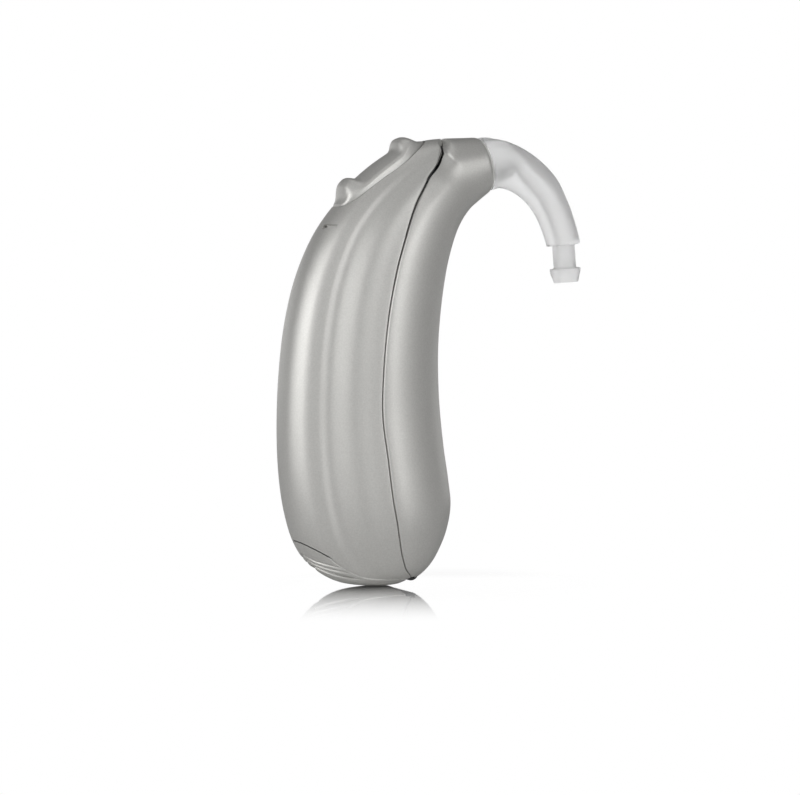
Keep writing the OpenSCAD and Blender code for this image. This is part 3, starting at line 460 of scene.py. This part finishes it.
# Battery door: the casing's lower end as one lacquered moulding. It carries the cell in a cradle
# and turns on a pin at the front, and its free edge has a ridged grip for the thumb.
door_rows = np.concatenate([[0, 0.03, 0.08, 0.15, 0.25, 0.4], np.linspace(0.55, 2.6, 30),
                            np.linspace(2.63, 5.3, 190), [5.5, 5.8]])
door_turns = np.concatenate([np.linspace(-180, -64, 30), np.linspace(-60, 60, 121),
                             np.linspace(64, 176, 29)])
door_wall, strip_width = 0.6, 6.08
cradle_radius, cell_radius, cradle_width = 4.46, 4.01, 4
knuckle_radius, knuckle_width, pin_bore = 0.8, 2.8, 0.44
# Each groove of the grip: station in its middle, station at its side, width and depth.
grooves = [(4.02, 3.1, 0.52, 0.42), (4.34, 3.5, 0.34, 0.20), (4.62, 3.78, 0.32, 0.17)]
grip_half_turn, station_length = 37, 3.6


def grip(station, turn):
    """Depth of the thumb grip's curved grooves, which end short of the door's sides."""
    far = np.clip(np.abs(turn) / grip_half_turn, 0, 1.4)
    close = np.clip((1.1 - far) / 0.25, 0, 1)
    sunk = 0 * station * turn
    for middle, at_side, width, deep in grooves:
        away_mm = (station - (middle + (at_side - middle) * far)) * station_length
        sunk = sunk + deep * np.exp(-np.abs(away_mm / (width * 0.55)) ** 1.6) * close
    return sunk


s, turn = door_rows[:, None], door_turns[None]
outer = skin(s, turn, grip(s, turn))
rows, columns = outer.shape[:2]
battery_door = solid("door_moulding", outer.reshape(-1, 3),
                     grid_faces(rows, columns, closed=True) + ends(rows, columns)[1:])
strip = door_outline(0) + [tuple(hinge_place + door_radius * aim(222)), (-depth, -wall)]
cut(battery_door, prism("strip_tool", strip, strip_width), "INTERSECT")
inner_rows = np.concatenate([[1.15, 1.4, 1.8, 2.3], np.linspace(3, 6.2, 12)])
inner = skin(inner_rows[:, None], np.linspace(-180, 172, 45)[None], door_wall)
rows, columns = inner.shape[:2]
cut(battery_door, solid("hollow_tool", inner.reshape(-1, 3),
                        grid_faces(rows, columns, closed=True) + ends(rows, columns)))
cut(battery_door, upright_bar("relief_tool", hinge_place, relief_radius, 7))
cradle_outline = (around(cell_place, cradle_radius, range(180, 386, 5))
                  + around(cell_place, cell_radius, range(385, 179, -5)))
cradle = prism("cradle", cradle_outline, cradle_width)
cut(cradle, prism("reach_tool", disc(hinge_place, 9.6, 90), 6), "INTERSECT")
cut(battery_door, cradle, "UNION")
web_outline = [tuple(hinge_place)] + around(hinge_place, 2.4, range(158, 206, 5))
cut(battery_door, prism("web", web_outline, knuckle_width), "UNION")
cut(battery_door, upright_bar("knuckle", hinge_place, knuckle_radius, knuckle_width), "UNION")
cut(battery_door, upright_bar("cell_tool", cell_place, cell_radius, cell_width))
cut(battery_door, upright_bar("pin_tool", hinge_place, pin_bore, 3.2))
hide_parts("battery_door")
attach(battery_door, "door")
coat_piece(battery_door, satin)


# Rocker switch: a lacquered cap that follows the spine, with two rounded nubs for the fingertip.
# It tilts on a steel pin through the lug under its middle.
ridge_table = np.array([along(spine_line, t) for t in np.arange(12.2, 15.5, 0.05)])
ridge_x = (ridge_table - rocker_middle) @ chord
ridge_z = (ridge_table - rocker_middle) @ outward
nub_height, nub_reach, nubs = 0.88, 1.9, ((-3.65, 1.0), (3.65, 0.95))
cap_edge, cap_crown, cap_depth, cap_curve = 0.22, 0.35, 0.45, 8
lug_radius, lug_top, lug_width, pivot_drop, pivot_bore = 0.65, 0.9, 1.5, 1.65, 0.39


def ridge(reach):
    return np.interp(reach, ridge_x, ridge_z)


def nub(reach, y):
    """Height of the two nubs: rounded humps that run across the cap."""
    high = 0
    for middle, wide in nubs:
        away_x = (reach - middle) / wide
        high = high + nub_height * np.exp(-np.abs(away_x) ** 3.2 - np.abs(y / nub_reach) ** 5)
    return high


reach = (-np.cos(np.linspace(0, np.pi, 161)) * rocker_length / 2 * 0.9995)[:, None]
y = rocker_half(reach) * np.sin(np.linspace(-np.pi / 2, np.pi / 2, 61))[None]
rim = np.minimum(rocker_half(reach) - np.abs(y), rocker_length / 2 - np.abs(reach))
rolled = np.clip(cap_edge - rim, 0, cap_edge)
top = ridge(reach) + cap_crown * (1 - np.abs(reach * 2 / rocker_length) ** 4) - y ** 2 / cap_curve
top = top + nub(reach, y)
top = top - (cap_edge - np.sqrt(np.maximum(cap_edge ** 2 - rolled ** 2, 0)))
under = ridge(reach) - cap_depth - y ** 2 / cap_curve
ring = np.concatenate([in_rocker(reach, y, top), in_rocker(reach, y, under)[:, ::-1]], 1)
rows, columns = ring.shape[:2]
rocker_cap = solid("rocker_cap", ring.reshape(-1, 3),
                   grid_faces(rows, columns, closed=True) + ends(rows, columns), smooth=50)
pivot_z = float(ridge(0)) - pivot_drop
lug = [(-lug_radius, lug_top), (-lug_radius, 0)]
lug += [(lug_radius * math.cos(t), lug_radius * math.sin(t)) for t in np.linspace(math.pi, 2 * math.pi, 17)]
lug += [(lug_radius, 0), (lug_radius, lug_top)]
lug_points = [in_rocker(x, w, pivot_z + z) for w in (-lug_width / 2, lug_width / 2) for x, z in lug]
lug_faces = ends(2, len(lug)) + grid_faces(2, len(lug), closed=True)
cut(rocker_cap, solid("lug", np.array(lug_points), lug_faces), "UNION", angle=50)
pivot_flat = rocker_middle + pivot_z * outward
cut(rocker_cap, upright_bar("pivot_tool", pivot_flat, pivot_bore, 2), angle=50)
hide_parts("rocker_button")
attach(rocker_cap, "rocker")
coat_piece(rocker_cap, satin)


# Ear hook: clear moulded plastic with a frosted surface, a bent tapering tube with a threaded socket
# at the casing and a waist and barb at its tip, where the earmould's tubing is pushed on.
hook_reach, hook_drop, end_diameter, sound_bore = 9.4, 7.7, 3.4, 1.3
hook_steps, bore_radius = 72, 0.6
base_place, base_relief, spout_tip = 0.3, 0.06, 3.15
reach_shares = [0, 0.10, 0.237, 0.404, 0.565, 0.709, 0.823, 0.903, 0.978]
rise_shares = [0, 0.018, 0.015, -0.043, -0.153, -0.309, -0.517, -0.725, -0.991]
width_shares = np.array([1, 0.97, 0.885, 0.81, 0.76, 0.72, 0.655, 0.63, 0.61])
# Distance along the axis and radius of each ring, in mm.
socket_profile = [(2.85, 1.5), (1.4, 1.5), (0.03, 1.5), (0.0, 1.53)]
tip_profile = [
    (0.02, 1.70), (0.10, 1.66), (0.17, 1.56), (0.22, 1.40), (0.25, 1.22), (0.28, 1.15), (0.34, 1.14),
    (1.4, 1.14), (2.45, 1.14), (2.53, 1.16), (2.58, 1.24), (2.60, 1.50), (2.63, 1.56), (2.68, 1.57),
    (2.85, 1.57), (2.93, 1.565), (2.98, 1.54), (3.5, 1.38), (3.95, 1.25), (4.01, 1.21), (4.03, 1.15),
    (4.03, 0.72), (4.0, 0.66), (3.9, 0.65), (2, 0.65), (0.05, 0.65)]


def on_axis(distance):
    return neck_centre + distance * aim(neck_tilt)


def tube_rings(line, stations, radii, steps):
    """Rings round a smooth side-view line at given stations and radii."""
    middle = along(line, stations)
    ahead = along(line, stations + 0.02) - along(line, stations - 0.02)
    ahead /= np.linalg.norm(ahead, axis=1)[:, None]
    turns = np.radians(np.arange(steps) * 360 / steps)
    r = np.asarray(radii)[:, None]
    x = middle[:, :1] - ahead[:, 1:] * r * np.cos(turns)
    z = middle[:, 1:] + ahead[:, :1] * r * np.cos(turns)
    return np.stack([x, r * np.sin(turns) + 0 * x, z], -1)


def straight_rings(start, direction, profile, steps):
    """Rings round a straight axis from a profile of distances and radii."""
    turns = np.radians(np.arange(steps) * 360 / steps)
    rings = []
    for d, r in profile:
        c = start + direction * d
        rings.append(np.stack([c[0] - direction[1] * r * np.cos(turns), r * np.sin(turns),
                               c[1] + direction[0] * r * np.cos(turns)], -1))
    return np.array(rings)


def looped(rows, columns):
    """Faces of a pipe of rings whose last ring joins its first, as its outside does its bore."""
    last = (rows - 1) * columns
    return grid_faces(rows, columns, closed=True) + [
        (last + k, last + (k + 1) % columns, (k + 1) % columns, k) for k in range(columns)]


hook_end, hook_down = neck_centre + [hook_reach * reach_shares[-1], -hook_drop], aim(4.8 - 90)
bends = list(zip(reach_shares, rise_shares))[1:-1]
hook_points = [on_axis(base_place)] + [neck_centre + [hook_reach * a, hook_drop * b] for a, b in bends]
hook_points += [hook_end]
lead = hook_points[1] - 2 * np.linalg.norm(hook_points[1] - hook_points[0]) * aim(neck_tilt)
hook_line = np.array([lead] + hook_points + [hook_end + hook_down])
widths = (end_diameter + (5.4 - end_diameter) * (width_shares - 0.61) / 0.39) / 2
hook_radii = carried(widths, neck_radius)
bore_bend = on_axis(spout_tip + sound_bore / 5) * 0.65 + hook_points[3] * 0.35
bore_line = np.array([on_axis(spout_tip - 2.3), on_axis(spout_tip - 1.15), bore_bend]
                     + hook_points[4:-1] + [hook_end, hook_end + hook_down])
places = np.linspace(0, 8, 150)
outer_r = along(hook_radii, places)
outer_r[:1] -= base_relief
rings = np.concatenate([
    straight_rings(on_axis(base_place), aim(neck_tilt), socket_profile, hook_steps),
    tube_rings(hook_line, places, outer_r, hook_steps),
    straight_rings(hook_end, hook_down, tip_profile, hook_steps),
    tube_rings(bore_line, np.linspace(6, 0, 70), np.full(70, bore_radius), hook_steps)])
ear_hook = solid("clear_hook", rings.reshape(-1, 3), looped(len(rings), hook_steps), smooth=55)
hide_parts("earhook")
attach(ear_hook, "hook")
clear, shader, place = finish_of("frosted_clear", IOR=1.33, Transmission_Weight=0.72)
haze = grain_of(place, 700.0, 3.0)
wire_up(between(haze, (0.985, 0.985, 0.985), (1.0, 1.0, 1.0)), shader, "Base Color")
wire_up(0.40 + 0.1 * haze, shader, "Roughness")
coat_piece(ear_hook, clear)


# Sound spout: the pale moulded stub on the neck that the hook screws onto, with a bore for the sound.
# Its thread is a round ridge wound 4.4 turns up it, swept along a spiral with Geometry Nodes.
thread_turns, thread_length, thread_radius, thread_ridge = 4.4, 0.0022, 0.00122, 0.00019
thread_start, spout_steps = 0.00065, 48
spout_profile = [(-2, 0.65), (-2, 1.2), (2.9, 1.2), (3.0, 1.1), (3.0, 0.65)]


def helix_tree():
    """A round ridge swept along a spiral, with the thread's sizes as its inputs."""
    tree = bpy.data.node_groups.new("spout_thread", "GeometryNodeTree")
    for name, value in (("Turns", 4.4), ("Radius", 0.0013), ("Length", 0.0022), ("Ridge", 0.00016)):
        socket = tree.interface.new_socket(name, in_out="INPUT", socket_type="NodeSocketFloat")
        socket.default_value = value
    tree.interface.new_socket("Finish", in_out="INPUT", socket_type="NodeSocketMaterial")
    tree.interface.new_socket("Geometry", in_out="OUTPUT", socket_type="NodeSocketGeometry")
    start, end, spiral, circle, sweep, realise, finish = (tree.nodes.new(kind) for kind in (
        "NodeGroupInput", "NodeGroupOutput", "GeometryNodeCurveSpiral", "GeometryNodeCurvePrimitiveCircle",
        "GeometryNodeCurveToMesh", "GeometryNodeRealizeInstances", "GeometryNodeSetMaterial"))
    spiral.inputs["Resolution"].default_value = 48
    circle.inputs["Resolution"].default_value = 10
    sweep.inputs["Fill Caps"].default_value = True
    link = tree.links.new
    for name, socket in (("Turns", spiral.inputs["Rotations"]), ("Radius", spiral.inputs["Start Radius"]),
                         ("Radius", spiral.inputs["End Radius"]), ("Length", spiral.inputs["Height"]),
                         ("Ridge", circle.inputs["Radius"]), ("Finish", finish.inputs["Material"])):
        link(start.outputs[name], socket)
    link(spiral.outputs[0], sweep.inputs["Curve"])
    link(circle.outputs[0], sweep.inputs["Profile Curve"])
    link(sweep.outputs[0], realise.inputs[0])
    link(realise.outputs[0], finish.inputs["Geometry"])
    link(finish.outputs[0], end.inputs[0])
    return tree


def grown(name, tree, values, place_matrix):
    """A plain mesh from a node tree, moved to its place in the mesh itself."""
    seed = bpy.data.objects.new(name + "_seed", bpy.data.meshes.new(name))
    bpy.context.scene.collection.objects.link(seed)
    modifier = seed.modifiers.new("grow", "NODES")
    modifier.node_group = tree
    for item in tree.interface.items_tree:
        if item.in_out == "INPUT" and item.name in values:
            modifier[item.identifier] = values[item.name]
    shaped = seed.evaluated_get(bpy.context.evaluated_depsgraph_get())
    made = bpy.data.meshes.new_from_object(shaped)
    bpy.data.objects.remove(seed)
    made.transform(place_matrix)
    piece = bpy.data.objects.new(name, made)
    bpy.context.scene.collection.objects.link(piece)
    soften(piece, 40)
    return piece


def even_finish(name, low, high, scale, detail, matt, spread, bump=None, **constants):
    """A finish whose colour and roughness follow one fine grain, which is also raised by bump."""
    made, shader, place = finish_of(name, **constants)
    grain = grain_of(place, scale, detail)
    wire_up(between(grain, low, high), shader, "Base Color")
    wire_up(matt + spread * grain, shader, "Roughness")
    if bump:
        wire_up(raised(grain, *bump), shader, "Normal")
    return made


resin = even_finish("spout_resin", (0.93, 0.935, 0.935), (0.98, 0.98, 0.98), 1500.0, 2.0, 0.3, 0.1, IOR=1.4)
neck_frame = Matrix.Translation((neck_centre[0] * MM, 0, neck_centre[1] * MM)) @ Matrix.Rotation(
    math.radians(90 - neck_tilt), 4, "Y")
thread = grown("spout_thread", helix_tree(),
               {"Turns": thread_turns, "Radius": thread_radius, "Length": thread_length,
                "Ridge": thread_ridge, "Finish": resin},
               neck_frame @ Matrix.Translation((0, 0, thread_start)))
spout_rings = straight_rings(neck_centre, aim(neck_tilt), spout_profile, spout_steps)
spout = solid("spout_core", spout_rings.reshape(-1, 3), looped(len(spout_profile), spout_steps))
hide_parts("sound_spout")
for piece in (thread, spout):
    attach(piece, "case")
    coat_piece(piece, resin)


# Metal inner pieces, which keep their CAD shapes: turned steel pins and cans of the microphones and
# the receiver, the cell's drawn can and cap in rubbed nickel, and the gilt springs that touch it.
def dress(material, *names):
    for name in names:
        for slot in nodes[name].material_slots:
            slot.material = material


steel = even_finish("turned_steel", (0.50, 0.50, 0.51), (0.66, 0.66, 0.66), 5000.0, 2.0, 0.28, 0.1,
                    Metallic=1.0)
dress(steel, "rocker_pivot_pin", "door_hinge_pin", "front_microphone", "rear_microphone", "receiver")
cell_nickel, shader, place = finish_of("nickel_can", Metallic=1.0)
brushed, rubbed = grain_of(place, 2600.0, 3.0), grain_of(place, 300.0)
wire_up(between(brushed, (0.58, 0.57, 0.54), (0.74, 0.73, 0.70)), shader, "Base Color")
wire_up(0.2 + 0.16 * rubbed, shader, "Roughness")
wire_up(raised(brushed, 0.08, 0.00001), shader, "Normal")
dress(cell_nickel, "battery_can", "battery_cap")
gilt = even_finish("gilt_contact", (0.72, 0.52, 0.22), (0.86, 0.66, 0.34), 1400.0, 2.0, 0.22, 0.14,
                   Metallic=1.0)
dress(gilt, "positive_contact", "negative_contact")


# Moulded inner pieces and the chips: black glass-filled plastic with an eroded grain from the mould,
# chips in a speckled black package, and small fired ceramic capacitors.
black = even_finish("black_moulding", (0.014, 0.014, 0.015), (0.032, 0.032, 0.034), 4200.0, 3.0, 0.42, 0.2,
                    bump=(0.2, 0.00001))
dress(black, "chassis", "up_plunger", "down_plunger", "up_switch", "down_switch", "board_standoffs")
package, shader, place = finish_of("chip_package")
speck = place.node("ShaderNodeTexVoronoi", {}, {"Vector": place, "Scale": 6000.0})
wire_up(between(speck, (0.020, 0.020, 0.022), (0.050, 0.050, 0.052)), shader, "Base Color")
wire_up(0.5 + 0.2 * speck, shader, "Roughness")
dress(package, "processor_chip", "memory_chip")
ceramic = even_finish("ceramic_capacitor", (0.36, 0.25, 0.15), (0.48, 0.36, 0.24), 2500.0, 2.0, 0.4, 0.15)
dress(ceramic, "capacitors")


# Circuit board: glass-fibre sheet under green solder mask, held in the chassis on its standoffs.
# Fine copper tracks show through the mask as paler lines.
board, shader, place = finish_of("green_board", Coat_Weight=0.3)
tracks = place.node("ShaderNodeTexBrick", {"offset": 0.5}, {
    "Vector": place, "Scale": 900.0, "Mortar Size": 0.06,
    "Color1": (0, 0, 0, 1), "Color2": (0.12, 0.12, 0.12, 1), "Mortar": (1, 1, 1, 1)})
mask = grain_of(place, 1200.0)
wire_up(between(tracks * 0.6 + 0.4 * mask, (0.010, 0.075, 0.038), (0.06, 0.24, 0.12)), shader, "Base Color")
wire_up(0.3 + 0.1 * mask, shader, "Roughness")
dress(board, "circuit_board")


# Telecoil: a dark fired ferrite rod with enamelled copper wire laid side by side round it.
# The wire's turns are fine bands along the rod, raised a little.
ferrite = even_finish("ferrite", (0.03, 0.028, 0.027), (0.07, 0.066, 0.062), 3000.0, 3.0, 0.55, 0.2)
dress(ferrite, "telecoil_core")
copper, shader, place = finish_of("enamelled_copper", Metallic=0.9)
turns_of_wire = place.node("ShaderNodeTexWave", {"bands_direction": "Z"},
                           {"Vector": place, "Scale": 5200.0})
wire_up(between(turns_of_wire, (0.32, 0.11, 0.04), (0.72, 0.33, 0.16)), shader, "Base Color")
wire_up(0.5 - 0.22 * turns_of_wire, shader, "Roughness")
wire_up(raised(turns_of_wire, 0.5, 0.00003), shader, "Normal")
dress(copper, "telecoil_winding")


# Rubber and nylon: dark moulded boots and the casing's gasket, the pale sound tube and neck washer,
# and the nylon ring between the cell's can and cap. All are matt and a little dusty.
for name, low, high, pieces in (
        ("dark_rubber", (0.03, 0.03, 0.032), (0.07, 0.07, 0.072),
         ("casing_gasket", "front_mic_boot", "rear_mic_boot", "receiver_boot")),
        ("pale_rubber", (0.62, 0.62, 0.60), (0.74, 0.74, 0.72), ("hook_seal", "receiver_tube")),
        ("nylon_ring", (0.20, 0.20, 0.21), (0.28, 0.28, 0.29), ("battery_seal",))):
    dress(even_finish(name, low, high, 1600.0, 4.0, 0.6, 0.25, bump=(0.15, 0.00002)), *pieces)


# Floor and light: a white glossy table top that mirrors the foot, in a white room with four soft
# lamps round the casing. White is a strength of 1. The photo looks along far_way, 2 degrees down.
photo_azimuth, photo_elevation, photo_distance = -22, 2, 0.2667
near_way, right_way, far_way = (-0.3746, -0.9272, 0), (0.9272, -0.3746, 0), (0.3746, 0.9272, 0.0)
floor_half, floor_drop = 0.6, 0.00004


def eased(value, first, last, start, end):
    """A value that eases from start to end as another runs from first to last."""
    return value.node("ShaderNodeMapRange", {"interpolation_type": "SMOOTHSTEP"}, {
        "Value": value, "From Min": first, "From Max": last, "To Min": start, "To Max": end})


def reach_in(place, way):
    return place.node("ShaderNodeVectorMath", {"operation": "DOT_PRODUCT"}, {0: place, 1: way}, out=1)


floor_mesh = bpy.data.meshes.new("floor")
floor_mesh.from_pydata([(x * floor_half, y * floor_half, 0) for x, y in ((-1, -1), (1, -1), (1, 1), (-1, 1))],
                       [], [(0, 1, 2, 3)])
floor = bpy.data.objects.new("floor", floor_mesh)
bpy.context.scene.collection.objects.link(floor)
floor.location.z = -floor_drop

table, shader, place = finish_of("white_table", Roughness=0.5)
table.node_tree.nodes.remove(shader)
out = table.node_tree.nodes["Material Output"]
seen = Wire(table.node_tree, table.node_tree.nodes.new("ShaderNodeLightPath").outputs["Is Camera Ray"])
# The mirror fades towards the front, to both sides, behind the foot and at steep views.
nearer, aside = reach_in(place, near_way), reach_in(place, right_way)
grazing = place.node("ShaderNodeLayerWeight", {}, {"Blend": 0.5}, out=1)
fade = eased(nearer, 0.002, 0.033, 0.98, 0.0)
fade = fade * eased(aside.maths("ABSOLUTE", aside), 0.012, 0.018, 1.0, 0.0)
fade = fade * eased(-1.0 * nearer, 0.004, 0.012, 1.0, 0.0) * eased(grazing, 0.79, 0.88, 0.0, 1.0)
# The aid's shadow shows on the matt floor under it.
reach = place.node("ShaderNodeVectorMath", {"operation": "LENGTH"}, {"Vector": place}, out=1)
shaded = eased(reach, 0.004, 0.018, 0.12, 0.0)
matt = place.node("ShaderNodeBsdfDiffuse", {}, {"Color": (0.86, 0.86, 0.86, 1)})
white = place.node("ShaderNodeEmission", {}, {"Color": (1, 1, 1, 1), "Strength": 1.0})
mirror = place.node("ShaderNodeBsdfAnisotropic", {}, {"Color": (1, 1, 1, 1), "Roughness": 0.04})
plain = place.node("ShaderNodeMixShader", {}, {0: seen * (1.0 - shaded), 1: matt, 2: white})
wire_up(place.node("ShaderNodeMixShader", {}, {0: seen * fade, 1: plain, 2: mirror}), out, "Surface")
coat_piece(floor, table)

bpy.context.scene.view_settings.view_transform = "Standard"
world = bpy.data.worlds.new("room")
bpy.context.scene.world = world
world.use_nodes = True
sky = world.node_tree
back = sky.nodes["Background"]
back.inputs["Color"].default_value = (1, 1, 1, 1)
path = sky.nodes.new("ShaderNodeLightPath")
ray, glossy, through = (Wire(sky, path.outputs[name]) for name in (
    "Is Camera Ray", "Is Glossy Ray", "Is Transmission Ray"))
direction = Wire(sky, sky.nodes.new("ShaderNodeTexCoord").outputs["Generated"])
rise = direction.node("ShaderNodeSeparateXYZ", {}, {0: direction}, out=2)
far_side = eased(reach_in(direction, far_way), 0.2, 0.9, 0.35, 1.0)
low = eased(rise, 0.14, 0.34, 1.0, 0.0)
level = ray.maths("MAXIMUM", ray.maths("MAXIMUM", ray, through), glossy * low * far_side)
wire_up(ray.maths("MAXIMUM", level, 0.15), back, "Strength")


def lamp(name, azimuth, elevation, width, tall, watts, distance=0.32, target=(0, 0, 0.024)):
    """A large soft lamp that looks at the casing from an azimuth round it."""
    data = bpy.data.lights.new(name, "AREA")
    data.shape, data.size, data.size_y, data.energy = "RECTANGLE", width, tall, watts
    made = bpy.data.objects.new(name, data)
    bpy.context.scene.collection.objects.link(made)
    a, e = math.radians(azimuth), math.radians(elevation)
    out_way = Vector((math.sin(a) * math.cos(e), -math.cos(a) * math.cos(e), math.sin(e)))
    made.location = Vector(target) + out_way * distance
    made.rotation_euler = out_way.to_track_quat("Z", "Y").to_euler()


lamp("left_lamp", -70, 10, 0.26, 0.3, 0.62)
lamp("left_fill", -34, 8, 0.05, 0.3, 0.11)
lamp("front_lamp", 19, 8, 0.12, 0.3, 0.36)
lamp("top_lamp", -20, 80, 0.2, 0.2, 0.08)

camera_data = bpy.data.cameras.new("camera")
camera_data.lens, camera_data.sensor_width, camera_data.sensor_fit = 120, 36, "HORIZONTAL"
camera_data.clip_start, camera_data.clip_end = 0.01, 10
camera = bpy.data.objects.new("camera", camera_data)
bpy.context.scene.collection.objects.link(camera)
azimuth, elevation = math.radians(photo_azimuth), math.radians(photo_elevation)
right = Vector((math.cos(azimuth), math.sin(azimuth), 0))
centre = right * -3.25 * MM + Vector((0, 0, 18.55 * MM))
away = Vector((math.sin(azimuth) * math.cos(elevation), -math.cos(azimuth) * math.cos(elevation),
               math.sin(elevation)))
camera.location = centre + away * photo_distance
camera.rotation_euler = (-away).to_track_quat("-Z", "Y").to_euler()
bpy.context.scene.camera = camera
